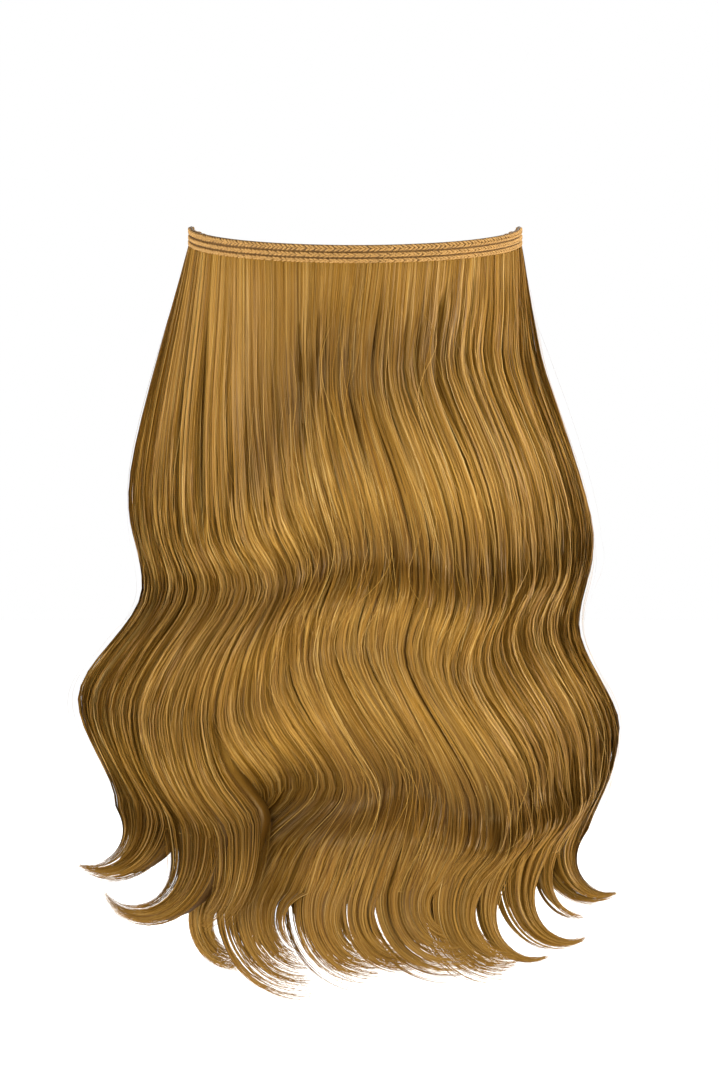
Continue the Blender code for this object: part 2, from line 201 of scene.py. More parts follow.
# Dark partings: the line they follow, their first and last bend, and their half width and depth
Cleft = namedtuple("Cleft", "angle first last half_width depth")
CLEFTS = (
    Cleft(-56, 0.05, 1.5, 1.3, 6.0 * MM),
    Cleft(-18.5, 0.3, 1.3, 1.0, 5.5 * MM),
    Cleft(-11, 0.3, 1.2, 0.9, 5.0 * MM),
    Cleft(32, 0.2, 1.5, 1.1, 5.5 * MM),
    Cleft(11.5, 3.6, 5.2, 2.4, 5.0 * MM),
    Cleft(3, 1.6, 2.6, 1.6, 3.5 * MM),
    Cleft(-28, 1.2, 2.4, 1.2, 2.5 * MM),
    Cleft(45, 2.2, 3.6, 1.8, 3.5 * MM),
    Cleft(24, 2.8, 4.2, 1.5, 3.0 * MM),
)
CLEFT_FADE = 1.4

CORE_INSET = 2.6 * MM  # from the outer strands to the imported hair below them
CORE_STEPS_PER_BEND = 10
CORE_OUTER_STEPS = 8
CORE_TIP_STEPS = 8
CORE_REACH = 0.7  # of a lock's end

# Shades of the strands, what each zone of lanes adds to them, and the painted shade and highlight
# by bends
# below the weft: darker in the hollows of the waves, lighter on their crests
HAIR_SHADES = (
    (0.46, (0.105, 0.043, 0.004)),
    (0.62, (0.195, 0.090, 0.010)),
    (0.74, (0.290, 0.148, 0.022)),
    (0.86, (0.390, 0.225, 0.050)),
    (1.00, (0.560, 0.390, 0.150)),
)
PALE_LANES = (
    (0.0, 0.34), (0.125, 0.08), (0.19, 0.22), (0.5, 0.34), (0.625, 0.08), (0.69, 0.22),
)
# The weft's bound strip, painted dark as shade between the stitches, then the lighter tones of the
# stitches
STRIP_SHADE_AND_STITCH_TONES = ((0.24, (0.42, 0.38, 0.34)), (0.26, (1.0, 1.0, 1.0)), (0.98, (1.3, 1.3, 1.3)))
LACQUER_SHADES = (
    (0.3, (0.060, 0.034, 0.016)),
    (0.6, (0.100, 0.058, 0.028)),
    (0.8, (0.19, 0.12, 0.06)),
)
LACQUER_ROUGHNESS = ((0.3, (0.26, 0.26, 0.26)), (0.75, (0.42, 0.42, 0.42)))
# Painted shade and highlight by bends below the weft, for the hair in the middle: darker in the
# hollows of the waves at the bends, lighter on the crests between
MIDDLE_PAINTED_SHADE_BANDS = (
    (0.0, 1.05), (0.45, 0.9), (0.85, 0.58), (1.05, 0.68), (1.3, 1.1), (1.65, 1.3), (1.9, 0.75),
    (2.1, 0.5), (2.3, 0.7), (2.65, 1.2), (3.05, 0.9), (3.4, 1.3), (3.7, 0.85), (4.0, 0.48),
    (4.25, 0.5), (4.8, 0.95), (5.2, 0.85), (6.5, 1.1),
)
# The same painted shade and highlight for the hair at the sides
SIDE_PAINTED_SHADE_BANDS = (
    (0.0, 1.2), (0.6, 1.2), (1.0, 1.15), (1.6, 1.25), (1.9, 0.9), (2.1, 0.75), (2.3, 0.8),
    (2.65, 1.0), (3.05, 0.9), (3.4, 1.25), (3.7, 0.85), (4.0, 0.6), (4.25, 0.6), (4.8, 0.95),
    (5.2, 0.95), (6.5, 1.2),
)

FLYAWAYS = 300
FLYAWAY_WIDTH = 0.26 * MM
FLYAWAY_STAND = 4.0 * MM
FLYAWAY_BENDS = (0.8, 2.2)  # length of each
FLYAWAY_POINTS = 22
FLYAWAY_HEIGHT = 0.02  # of the thickness outside the hair
FLYAWAY_STEPS_PER_BEND = 12
FLYAWAY_SHIFT = 1.6  # of the stand, sideways at its end
FLYAWAY_MAP_BENDS = 1.6  # of the map's height that each is coloured by

STITCH_PITCH = 1.65  # degrees round the head
STITCH_RADIUS = 0.66 * MM
STITCH_SIDES = 6
STITCH_POINTS = 7
STITCH_SPAN = 1.35  # pitches that a stitch slants over
STITCH_OVERLAP = 1.12  # of the way from the edge to the middle of the row
STITCH_SHIFT = 0.22  # pitches between the upper and the lower arm
STITCH_VARIETY = 0.07
STITCH_TONES = (0.30, 0.90)
ROW_STEPS = 241
ROW_CUT = 0.3  # of the row, off its corners
ROW_ROUGHNESS = 0.12 * MM
ROW_END_SIZE = 0.35
HOLE_CORNERS = 12
CLIP_BEVEL = 0.28 * MM
COMB_REACH = 0.45 * MM
THREADS_PER_HOLE = 4
THREAD_PITCH = 0.42 * MM
THREAD_RADIUS = 0.24 * MM
THREAD_POINTS = 15
THREAD_SHADES = (
    (0.30, (0.110, 0.050, 0.008)),
    (0.45, (0.220, 0.112, 0.026)),
    (0.58, (0.330, 0.190, 0.055)),
    (0.75, (0.500, 0.335, 0.140)),
)

# Camera and studio

PHOTO_WIDTH, PHOTO_HEIGHT = 719, 1080
PIXEL = 0.585 * MM  # at the back of the head
ORIGIN_PIXEL = (355, 255)
CAMERA_DISTANCE = 2.2
SENSOR_WIDTH = 36.0
LIGHTS_AIM = (0.0, 0.0, -0.2)
FLOOR_HEIGHT = -0.47
FLOOR_RADIUS = 12.0
FLOOR_GLOW = 0.7
DOME = 0.3  # brightness of the studio overhead, beside 1 at eye level
Light = namedtuple("Light", "name place size watts colour")
LIGHTS = (
    Light("key", (-0.35, -1.9, 0.0), 0.6, 20, (1.0, 0.97, 0.92)),
    Light("right", (1.6, -0.35, 0.25), 0.9, 44, (1.0, 0.96, 0.90)),
    Light("left", (-1.6, -0.45, 0.15), 0.9, 28, (1.0, 0.97, 0.92)),
    Light("behind", (0.3, 1.6, 0.6), 1.0, 10, (1.0, 1.0, 1.0)),
)


# Smooth curves

def smooth(knots, values, at):
    """Values at these places on curves through the rows of values that turn only at them."""
    knots, values, at = (np.asarray(x, float) for x in (knots, values, at))
    steps = np.diff(knots).reshape(-1, *[1] * (values.ndim - 1))
    grades = np.diff(values, axis=0) / steps
    before, after = grades[:-1], grades[1:]
    turning = before * after <= 0
    total = np.where(turning, 1.0, before + after)
    inner = np.where(turning, 0.0, 2 * before * after / total)
    slopes = np.concatenate([grades[:1], inner, grades[-1:]])
    i = np.clip(np.searchsorted(knots, at, side="right") - 1, 0, len(knots) - 2)
    step = steps[i]
    t = (at - knots[i]).reshape(-1, *[1] * (values.ndim - 1)) / step
    rest = 1 - t
    start = values[i] * (1 + 2 * t) + slopes[i] * step * t
    end = values[i + 1] * (1 + 2 * rest) - slopes[i + 1] * step * rest
    return start * rest**2 + end * t**2


def ease(share):
    share = np.clip(share, 0.0, 1.0)
    return share * share * (3 - 2 * share)


def unlike(number):
    return np.sin(2.4 * number)


# The fall of the hair

def outward(angles):
    turned = np.radians(angles)
    return np.stack([np.sin(turned), -np.cos(turned), np.zeros_like(turned)], -1)


def rise(angles):
    return WEFT_RISE * (1 - np.cos(np.radians(angles)))


def head_points(angles, out, height):
    turned = np.radians(angles)
    across = (HEAD_HALF_WIDTH + out) * np.sin(turned)
    forward = HEAD_DEPTH - (HEAD_DEPTH + out) * np.cos(turned)
    return np.stack(np.broadcast_arrays(across, forward, rise(angles) + height), -1)


def thickness(bends):
    grown = smooth(range(len(THICKNESS_SHARES)), THICKNESS_SHARES, bends)
    return ROW_THICKNESS + (HAIR_THICKNESS - ROW_THICKNESS) * grown


def hair_points(section, angles, bends, inward):
    """Points of the hair, a row for each place in bends and a column for each angle."""
    roots = [line.root for line in LINES]
    sides = smooth(roots, [line.sides for line in LINES], angles).T
    drops = smooth(roots, [line.drops for line in LINES], angles).T
    root = head_points(angles, WEFT_OUTER, 0.0)
    sides = np.vstack([root[:, 0] / HEM_HALF_WIDTH, sides])
    drops = np.vstack([-rise(angles) / HAIR_DROP, drops])
    places = range(len(sides))
    side, drop = smooth(places, sides, bends), smooth(places, drops, bends)
    turned, bend = np.radians(angles), np.asarray(bends)[:, None]
    thick = thickness(bends)[:, None]
    spread = smooth(places, SPREAD_SHARES, bends)[:, None]
    depth = HEAD_DEPTH + WEFT_OUTER + (HEM_DEPTH - HEAD_DEPTH - WEFT_OUTER) * spread
    back = WEFT_INNER + thick + BACK_BULGE * spread
    hollow = WAVE_DEPTH * smooth(places, HOLLOW_SHARES, bends)[:, None]
    hollow = hollow * (1 + np.cos(2 * np.pi * bend)) / 2 * np.cos(turned)
    sway = SIDE_SWAY * ease(bend / SWAY_BENDS) * np.cos(np.pi * bend) * np.sin(turned)
    points = np.empty((*side.shape, 3))
    points[..., 0] = side * HEM_HALF_WIDTH
    points[..., 1] = depth * (1 - np.cos(turned)) - back + sway
    points[..., 2] = -WEFT_HEIGHT / 2 - SEWN_GAP - drop * HAIR_DROP
    points -= outward(angles) * (hollow + inward * thick)[..., None]
    # A section that lies behind the one to its left moves back and left there.
    from_right = (section.last - angles) / (section.last - section.first)
    sunk = section.sink * HAIR_THICKNESS * ease(bend - SINK_BEND) * ease(SINK_EDGE * from_right)
    along = np.array([-1.0, HEM_DEPTH / HEM_HALF_WIDTH, 0.0])
    slid = along * (sunk * SLIDE * ease(bend - SLIDE_BEND))[..., None]
    return points - outward(section.first) * sunk[..., None] + slid


def lock_edges(section):
    spacing = (section.last - section.first) / section.locks
    edges = section.first + spacing * np.arange(section.locks + 1)
    inside = np.arange(1, section.locks)
    edges[inside] += spacing * LOCK_VARIETY * unlike(inside + section.first)
    return edges


def turned_about_y(vectors, angles):
    """These vectors, turned about +Y by these angles in radians."""
    vectors, cos, sin = np.asarray(vectors), np.cos(angles), np.sin(angles)
    x = vectors[..., 0] * cos + vectors[..., 2] * sin
    z = -vectors[..., 0] * sin + vectors[..., 2] * cos
    return np.stack(np.broadcast_arrays(x, vectors[..., 1], z), -1)


Curl = namedtuple("Curl", "start done travel turned size")


def curl_of(section, tuft, number):
    """The curled end of a tuft: where it starts, and how it travels and turns along the way."""
    middle = np.array([(tuft.first + tuft.last) / 2])
    end = np.array([section.bends - 0.01, section.bends])
    before, start = hair_points(section, middle, end, CURL_DEPTH)[:, 0]
    heading = (start - before) / np.linalg.norm(start - before)
    hinge = np.array([float(tuft.last if tuft.turn > 0 else tuft.first)])
    arm = (start - hair_points(section, hinge, end[1:], CURL_DEPTH)[0, 0]) * tuft.fan
    done = np.linspace(0, 1, CURL_POINTS)
    turned = -np.radians(tuft.turn) * done**tuft.delay
    headings = turned_about_y(heading, turned)
    steps = (headings[1:] + headings[:-1]) / 2 * tuft.length * HAIR_DROP / (len(done) - 1)
    travel = np.vstack([np.zeros(3), np.cumsum(steps, axis=0)])
    travel += turned_about_y(arm, turned) - arm
    travel[:, 1] -= TIP_LIFT * TIP_LIFT_SHARES[number % 2] * done**TIP_POWER
    return Curl(start, done, travel, turned, tuft.size)


def carried(curl, home, done, size):
    """Points at home on a lock's last ring, carried this far along its curl and made smaller."""
    travel = np.stack([np.interp(done, curl.done, column) for column in curl.travel.T], -1)
    turned = np.interp(done, curl.done, curl.turned)
    return curl.start + travel + turned_about_y((home - curl.start) * size[..., None], turned)


# Meshes

def add_mesh(name, points, faces, uv, material):
    """An object of these points and quads, shaded smooth, with a map that holds uv per point."""
    mesh = bpy.data.meshes.new(name)
    mesh.vertices.add(len(points))
    mesh.vertices.foreach_set("co", np.asarray(points, np.float32).ravel())
    faces = np.asarray(faces, np.int32)
    mesh.loops.add(faces.size)
    mesh.loops.foreach_set("vertex_index", faces.ravel())
    mesh.polygons.add(len(faces))
    mesh.polygons.foreach_set("loop_start", np.arange(0, faces.size, 4, dtype=np.int32))
    mesh.polygons.foreach_set("use_smooth", np.ones(len(faces), bool))
    mesh.update(calc_edges=True)
    layer = mesh.uv_layers.new(name="OFBake")
    layer.uv.foreach_set("vector", np.asarray(uv, np.float32)[faces.ravel()].ravel())
    mesh.materials.append(material)
    mesh.validate()
    item = bpy.data.objects.new(name, mesh)
    bpy.context.scene.collection.objects.link(item)
    return item


def map_height(places):
    """Height on the map of a place along the hair, in bends below the weft."""
    return 1 - MAP_MARGIN - (1 - 2 * MAP_MARGIN) * np.asarray(places) / MAP_BENDS


def unit(vectors):
    return vectors / np.maximum(np.linalg.norm(vectors, axis=-1, keepdims=True), 1e-12)


def ribbons(paths, faces_out, widths, lean, lanes, places):
    """(points, faces, uv) of flat ribbons along these paths. paths: a row for each place and a
    column for each ribbon. lean: how far each is turned about its own length, in radians.
    lanes: where each lies across the map. places: how far along it each row lies, in bends."""
    along = unit(np.gradient(paths, axis=0))
    out = unit(faces_out - (faces_out * along).sum(-1, keepdims=True) * along)
    across = np.cross(along, out)
    half = across * np.cos(lean)[..., None] + out * np.sin(lean)[..., None]
    half *= widths[..., None] / 2
    rows, count = paths.shape[:2]
    points = np.stack([paths - half, paths + half], 2)
    index = np.arange(rows * count * 2).reshape(rows, count, 2)
    faces = np.stack(
        [index[:-1, :, 0], index[:-1, :, 1], index[1:, :, 1], index[1:, :, 0]], -1
    )
    u = lanes[:, None] + np.array([0.0, LANE_WIDTH])
    uv = np.stack(np.broadcast_arrays(u[None], map_height(places)[:, None, None]), -1)
    return points.reshape(-1, 3), faces.reshape(-1, 4), uv.reshape(-1, 2)


# Strands

def wander(bends, count, size, per_bend):
    """A slow random wave along each of count strands, a row for each place in bends."""
    total = np.zeros((len(bends), count))
    for part in WAVE_SIZES:
        pitch = per_bend / part * RANDOM.uniform(0.7, 1.3, count)
        phase = RANDOM.uniform(0, 2 * np.pi, count)
        total += part * np.sin(2 * np.pi * np.outer(bends, pitch) + phase)
    return size * total / WAVE_TOTAL


def low_places(angles, bends):
    """How much lower the hair lies in its waves and partings, a row for each place in bends."""
    wave = smooth(range(len(WAVE_HOLLOWS)), WAVE_HOLLOWS, bends)
    wave = wave * (1 + np.cos(2 * np.pi * bends)) / 2
    depth = wave[:, None] * np.cos(np.radians(angles)) ** 2
    for cleft in CLEFTS:
        middle, half = (cleft.first + cleft.last) / 2, (cleft.last - cleft.first) / 2
        along = ease(CLEFT_FADE * (1 - np.abs(bends - middle) / half))
        across = np.exp(-(((angles - cleft.angle) / cleft.half_width) ** 2))
        depth = depth + cleft.depth * along[:, None] * across
    return depth


def strand_paths(section, strands):
    """Paths of strands down to the last bend, drawn together in clumps."""
    angles, layers, clumps = strands.angles, strands.layers, strands.clumps
    bends = np.linspace(0, section.bends, section.bends * STEPS_PER_BEND + 1)
    thick = thickness(bends)[:, None]
    fine = np.minimum(1, thick / STRAND_ROOM)
    inside = layers > 0.5
    apart = clumps + inside * (clumps.max() + 1)
    names, member = np.unique(apart, return_inverse=True)
    middle_angle = (np.bincount(member, angles) / np.bincount(member))[member]
    spread = np.sqrt(np.bincount(member, (angles - middle_angle) ** 2) / np.bincount(member))
    off = np.clip((angles - middle_angle) / (2 * spread[member] + 1e-6), -1, 1)
    grown = ease(bends / CLUMP_BENDS)[:, None]
    drawn = CLUMP_PULL * grown
    relief = STRAND_LOCK_RELIEF * ease(bends)[:, None] * (1 - np.sin(np.pi * strands.shares))
    relief = relief + CLUMP_RELIEF * grown * off**2 * fine
    relief = relief + low_places(angles, bends) * np.minimum(1, thick / WAVE_ROOM)
    thin = strands.widths < STRAND_WIDTH
    deep = np.abs(RANDOM.normal(0, 1, len(angles))) * np.where(thin, 0.5, 1.0)
    deep = deep * STRAND_DEPTH * fine
    inward = np.where(inside, layers - (relief / 2 + deep) / thick, (relief + deep) / thick)
    paths = hair_points(section, angles, bends, inward)
    side = np.stack([np.cos(np.radians(angles)), np.sin(np.radians(angles)), 0 * angles], -1)
    out = outward(angles)
    pulled = np.radians(middle_angle - angles) * (HEAD_HALF_WIDTH + HEM_HALF_WIDTH) / 2 * drawn
    sway = wander(bends, len(names), CLUMP_WANDER, CLUMP_WAVES[0])[:, member]
    sway = sway + wander(bends, len(angles), STRAND_WANDER, STRAND_WAVES[0])
    heave = wander(bends, len(names), CLUMP_WANDER * HEAVE_SHARE, CLUMP_WAVES[1])[:, member]
    heave = heave + wander(bends, len(angles), STRAND_WANDER * HEAVE_SHARE, STRAND_WAVES[1])
    paths += side * (sway * grown + pulled)[..., None] + out * (heave * grown * fine)[..., None]
    return paths


def curled_paths(section, strands, home):
    """Where the strands go from the last ring: along the curls of their tufts."""
    count = len(strands.angles)
    reach = 1 - 0.5 * RANDOM.random(count) ** 2.2
    splay = np.clip(RANDOM.normal(0, 1, count), -MOST_SPLAY, MOST_SPLAY) * STRAND_SPLAY
    lift = RANDOM.normal(0, 0.5, count) * STRAND_SPLAY
    steps = np.linspace(0, 1, TIP_STEPS + 1)[1:, None]
    paths = np.empty((TIP_STEPS, count, 3))
    for number, tuft in enumerate(TUFTS[section.name]):
        mine = strands.tufts == number
        curl = curl_of(section, tuft, number)
        off = (strands.angles[mine] * 2 - tuft.first - tuft.last) / (tuft.last - tuft.first)
        done = steps * reach[mine] * (1 - 0.3 * np.minimum(off**2, 1) * (1 - tuft.size))
        size = curl.size + (1 - curl.size) * (1 - done**1.1)
        points = carried(curl, home[mine], done, size)
        turned = np.interp(done, curl.done, curl.turned)
        across = turned_about_y(np.array([1.0, 0.0, 0.0]), turned)
        points += across * (splay[mine] * (0.15 + curl.size) * done**2)[..., None]
        points[..., 1] -= lift[mine] * done**2
        paths[:, mine] = points
    return paths


def strand_places(section):
    """Where the rows of a strand lie along it, in bends below the weft."""
    down = np.linspace(0, section.bends, section.bends * STEPS_PER_BEND + 1)
    end = section.bends + np.linspace(0, TIP_BENDS, TIP_STEPS + 1)[1:]
    return np.concatenate([[0.0], down, end])


Strands = namedtuple("Strands", "angles shares layers clumps tufts widths lean")


def strands_of(section):
    """Where each strand of a section starts, what it lies beside and how wide it is."""
    count = STRANDS_PER_SECTION
    edges = lock_edges(section)
    angles = RANDOM.uniform(section.first, section.last, count)
    locks = np.clip(np.searchsorted(edges, angles) - 1, 0, section.locks - 1)
    shares = (angles - edges[locks]) / (edges[locks + 1] - edges[locks])
    layers = np.where(RANDOM.random(count) < INNER_SHARE, 1.0, 0.0)
    clump = np.clip(shares * CLUMPS_PER_LOCK + RANDOM.normal(0, 0.35, count), 0, None)
    clumps = locks * CLUMPS_PER_LOCK + np.minimum(clump.astype(int), CLUMPS_PER_LOCK - 1)
    firsts = np.array([tuft.first for tuft in TUFTS[section.name]])
    loose = angles + RANDOM.normal(0, 0.8, count) + np.where(layers > 0, 4.0, 0.0)
    tufts = np.clip(np.searchsorted(firsts, loose) - 1, 0, len(firsts) - 1)
    broad = RANDOM.random(count) < 0.5
    widths = np.where(broad, RANDOM.uniform(1.0, 1.7, count), RANDOM.uniform(0.4, 0.9, count))
    lean = np.radians(STRAND_LEAN) * RANDOM.normal(0, 1, count) * np.where(broad, 0.6, 1.6)
    return Strands(angles, shares, layers, clumps, tufts, STRAND_WIDTH * widths, lean)


def build_strands(section, material):
    strands = strands_of(section)
    count = len(strands.angles)
    paths = strand_paths(section, strands)
    ends = curled_paths(section, strands, paths[-1])
    paths = np.concatenate([paths, ends])
    inside, above = ROOT_OFFSET
    root = paths[:1] - outward(strands.angles) * inside + np.array([0.0, 0.0, above])
    paths = np.concatenate([root, paths])
    way = np.linspace(0, 1, len(paths))[:, None]
    taper = 1 - TAPER * ease((way - TAPER_FROM) / (1 - TAPER_FROM))
    turn = TWIST * np.sin(2 * np.pi * (way * 2 + RANDOM.random(count)))
    away = np.abs(strands.angles - SIDES_MIDDLE)
    sides = RANDOM.random(count) < ease((away - SIDES_FROM) / SIDES_FADE)
    pick = RANDOM.random(count) + np.where(strands.widths < STRAND_WIDTH, 0.0, BROAD_TONE)
    low, high = TONE_LANES[np.searchsorted(TONE_SHARES, pick, side="right")].T
    lanes = low + (high - low) * RANDOM.random(count) + SIDE_LANES * sides
    points, faces, uv = ribbons(
        paths,
        outward(strands.angles),
        strands.widths * taper,
        strands.lean + turn,
        lanes,
        strand_places(section),
    )
    return add_mesh(section.name + "_strands", points, faces, uv, material)


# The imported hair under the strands

def build_core(section, material):
    edges = lock_edges(section)
    bends = np.linspace(0, section.bends, section.bends * CORE_STEPS_PER_BEND + 1)
    thick = thickness(bends)[:, None]
    inset = CORE_INSET * np.minimum(1, thick / STRAND_ROOM) / thick
    firsts = np.array([tuft.first for tuft in TUFTS[section.name]])
    points, faces, uv = [], [], []
    used = 0
    for lock, (first, last) in enumerate(zip(edges, edges[1:])):
        shares = np.linspace(0, 1, CORE_OUTER_STEPS + 1)
        shares = np.concatenate([shares, shares[::-1]])
        inside = np.arange(len(shares)) > CORE_OUTER_STEPS
        angles = first + (last - first) * shares
        relief = STRAND_LOCK_RELIEF * ease(bends)[:, None] * (1 - np.sin(np.pi * shares))
        relief = relief + low_places(angles, bends) * np.minimum(1, thick / WAVE_ROOM)
        relief = np.minimum(relief / thick, 0.6)
        inward = np.where(inside, 1 - relief / 3 - inset / 2, np.minimum(relief + inset, 0.75))
        tube = hair_points(section, angles, bends, inward)
        number = np.clip(np.searchsorted(firsts, (first + last) / 2) - 1, 0, len(firsts) - 1)
        curl = curl_of(section, TUFTS[section.name][number], number)
        done = np.linspace(0, CORE_REACH, CORE_TIP_STEPS + 1)[1:, None]
        size = 0.05 + 0.95 * (1 - done / CORE_REACH)
        tip = carried(curl, tube[-1], done, np.broadcast_to(size, (len(done), tube.shape[1])))
        tube = np.concatenate([tube, tip])
        rows, around = tube.shape[:2]
        index = used + np.arange(rows * around).reshape(rows, around)
        after = np.roll(index, -1, axis=1)
        quads = np.stack([index[1:], after[1:], after[:-1], index[:-1]], -1)
        u = 0.02 + (lock * 97 % 40) / 100 + np.abs(np.linspace(-1, 1, around)) * 0.05
        places = np.concatenate([bends, section.bends + TIP_BENDS * done[:, 0]])
        v = map_height(places)
        points.append(tube.reshape(-1, 3))
        faces.append(quads.reshape(-1, 4))
        uv.append(np.stack(np.broadcast_arrays(u[None], v[:, None]), -1).reshape(-1, 2))
        used += rows * around
    parts = (np.concatenate(part) for part in (points, faces, uv))
    return add_mesh(section.name + "_core", *parts, material)


# Loose hairs

def build_flyaways(material):
    """Thin hairs that stand away from the rest for part of their length."""
    points, faces, uv, used = [], [], [], 0
    for section in SECTIONS:
        count = FLYAWAYS // len(SECTIONS)
        angles = RANDOM.uniform(section.first, section.last, count)
        firsts = RANDOM.uniform(0.1, section.bends - 1.2, count)
        lengths = RANDOM.uniform(*FLYAWAY_BENDS, count)
        bends = np.linspace(0, section.bends, FLYAWAY_STEPS_PER_BEND * section.bends + 1)
        way = np.linspace(0, 1, FLYAWAY_POINTS)[:, None]
        places = np.clip(firsts + way * lengths, 0, section.bends)
        height = np.full((len(bends), count), -FLYAWAY_HEIGHT)
        paths = hair_points(section, angles, bends, height)
        picked = np.empty((*places.shape, 3))
        for strand in range(count):
            for axis in range(3):
                column = paths[:, strand, axis]
                picked[:, strand, axis] = np.interp(places[:, strand], bends, column)
        stand = np.abs(RANDOM.normal(0, 1, count)) * FLYAWAY_STAND
        away = stand * np.sin(np.pi * way**0.8) ** 1.5 + stand * 0.8 * way**3
        shift = RANDOM.normal(0, 1, count) * FLYAWAY_STAND * FLYAWAY_SHIFT * way**2
        swing = RANDOM.normal(0, 1, count) * FLYAWAY_STAND * np.sin(2 * np.pi * way)
        side = np.stack([np.cos(np.radians(angles)), np.sin(np.radians(angles)), 0 * angles], -1)
        picked += outward(angles) * away[..., None] + side * (shift + swing)[..., None]
        widths = FLYAWAY_WIDTH * (1 - 0.6 * np.abs(2 * way - 1) ** 3) * np.ones(count)
        lanes = RANDOM.uniform(0.01, 0.48, count) + SIDE_LANES
        lean = RANDOM.uniform(-0.6, 0.6, count) * np.ones_like(way)
        heights = np.linspace(0, FLYAWAY_MAP_BENDS, FLYAWAY_POINTS)
        part = ribbons(picked, outward(angles), widths, lean, lanes, heights)
        points.append(part[0])
        faces.append(part[1] + used)
        uv.append(part[2])
        used += len(part[0])
    parts = (np.concatenate(part) for part in (points, faces, uv))
    return add_mesh("flyaways", *parts, material)


# Weft

def build_row(name, top, height, lap):
    """One sewn row of the weft: a strip of hair bound by a chain of slanted stitches on each face.
    lap: how far the strip reaches under the rows above and below."""
    cut = min(height, ROW_THICKNESS) * ROW_CUT
    low, high = top - height - lap[1], top + lap[0]
    near, far = WEFT_INNER + STITCH_RADIUS * 0.7, WEFT_OUTER - STITCH_RADIUS * 0.7
    profile = np.array(
        [
            (near, low + cut), (near, (low + high) / 2), (near, high - cut),
            (near + cut * 0.3, high - cut * 0.3), (near + cut, high), (far - cut, high),
            (far - cut * 0.3, high - cut * 0.3), (far, high - cut), (far, (low + high) / 2),
            (far, low + cut), (far - cut * 0.3, low + cut * 0.3), (far - cut, low),
            (near + cut, low), (near + cut * 0.3, low + cut * 0.3),
        ]
    )
    steps = np.linspace(-WEFT_HALF_ANGLE, WEFT_HALF_ANGLE, ROW_STEPS)
    uneven = ROW_ROUGHNESS * np.sin(np.outer(steps, [1.9, 3.1, 2.3] * 4 + [1.7, 2.9]) * 1.3)
    bulge = np.where(profile[:, 0] > (near + far) / 2, 1.0, -1.0)
    rings = np.stack(
        [
            head_points(np.full(len(profile), at), profile[:, 0] + bulge * rough, profile[:, 1])
            for at, rough in zip(steps, uneven)
        ]
    )
    small = rings * ROW_END_SIZE + rings.mean(axis=1, keepdims=True) * (1 - ROW_END_SIZE)
    before = small[:1] - (rings[1:2] - rings[:1]) / 2
    beyond = small[-1:] + (rings[-1:] - rings[-2:-1]) / 2
    rings = np.concatenate([before, rings, beyond])
    rows, around = rings.shape[:2]
    index = np.arange(rows * around).reshape(rows, around)
    after = np.roll(index, -1, axis=1)
    quads = np.stack([index[1:], after[1:], after[:-1], index[:-1]], -1).reshape(-1, 4)
    caps = []
    for ring, flip in ((index[0], 1), (index[-1], -1)):
        for i in range(around // 2 - 1):
            quad = (ring[i], ring[i + 1], ring[-2 - i], ring[-1 - i])
            caps.append(quad[::flip])
    # The strip's lanes take the painted shade that lies between the stitches
    u = 0.02 + 0.20 * np.abs(np.linspace(-1, 1, around))
    v = np.linspace(0.98, 0.02, rows)
    uv = np.stack(np.broadcast_arrays(u[None], v[:, None]), -1).reshape(-1, 2)
    points, faces, maps = [rings.reshape(-1, 3)], [quads, np.array(caps)], [uv]
    used = rows * around

    # Stitches: each face carries a chain of threads that slant to the row's middle
    count = int(2 * WEFT_HALF_ANGLE / STITCH_PITCH)
    starts = -WEFT_HALF_ANGLE + STITCH_PITCH * (np.arange(count) + 0.1)
    middle = top - height / 2
    along = np.linspace(0, 1, STITCH_POINTS)
    for face, arm in ((f, a) for f in (1, -1) for a in (1, -1)):
        jitter = RANDOM.normal(0, STITCH_VARIETY, (4, count))
        shift = STITCH_SHIFT if arm < 0 else 0.0
        angle = starts + STITCH_PITCH * shift + jitter[0] * STITCH_PITCH
        span = STITCH_PITCH * (STITCH_SPAN + jitter[1])
        reach = arm * (height / 2 - STITCH_RADIUS * 0.6) * (1 + jitter[2])
        at = angle + np.outer(along, span)
        up = middle + np.outer(1 - along * STITCH_OVERLAP, reach)
        bow = np.sin(np.pi * along)[:, None] ** 0.7
        base = far if face > 0 else near
        out = base + face * STITCH_RADIUS * (0.95 * bow - 0.35) * (1 + jitter[3])
        path = np.stack([head_points(*row) for row in zip(at, out, up)])
        radius = STITCH_RADIUS * (0.35 + 0.65 * bow)
        tangent = unit(np.gradient(path, axis=0))
        outside = outward(at) * face
        across = unit(np.cross(tangent, outside))
        over = np.cross(across, tangent)
        turns = np.linspace(0, 2 * np.pi, STITCH_SIDES + 1)[:-1]
        rings = (
            path[:, :, None]
            + across[:, :, None] * (np.cos(turns)[:, None] * radius[:, :, None, None])
            + over[:, :, None] * (np.sin(turns)[:, None] * radius[:, :, None, None])
        )
        levels = len(along)
        index = used + np.arange(levels * count * STITCH_SIDES).reshape(levels, count, -1)
        after = np.roll(index, -1, axis=2)
        quads = np.stack([index[:-1], after[:-1], after[1:], index[1:]], -1)
        tone = RANDOM.uniform(*STITCH_TONES, count)
        u = tone[:, None] + np.abs(np.linspace(-1, 1, STITCH_SIDES)) * 0.06
        v = np.linspace(0.98, 0.02, levels)
        points.append(rings.reshape(-1, 3))
        faces.append(quads.reshape(-1, 4))
        uv = np.stack(np.broadcast_arrays(u[None], v[:, None, None]), -1)
        maps.append(uv.reshape(-1, 2))
        used += levels * count * STITCH_SIDES
    parts = (np.concatenate(part) for part in (points, faces, maps))
    return add_mesh(name + "_sewn", *parts, thread_material)


# Clips

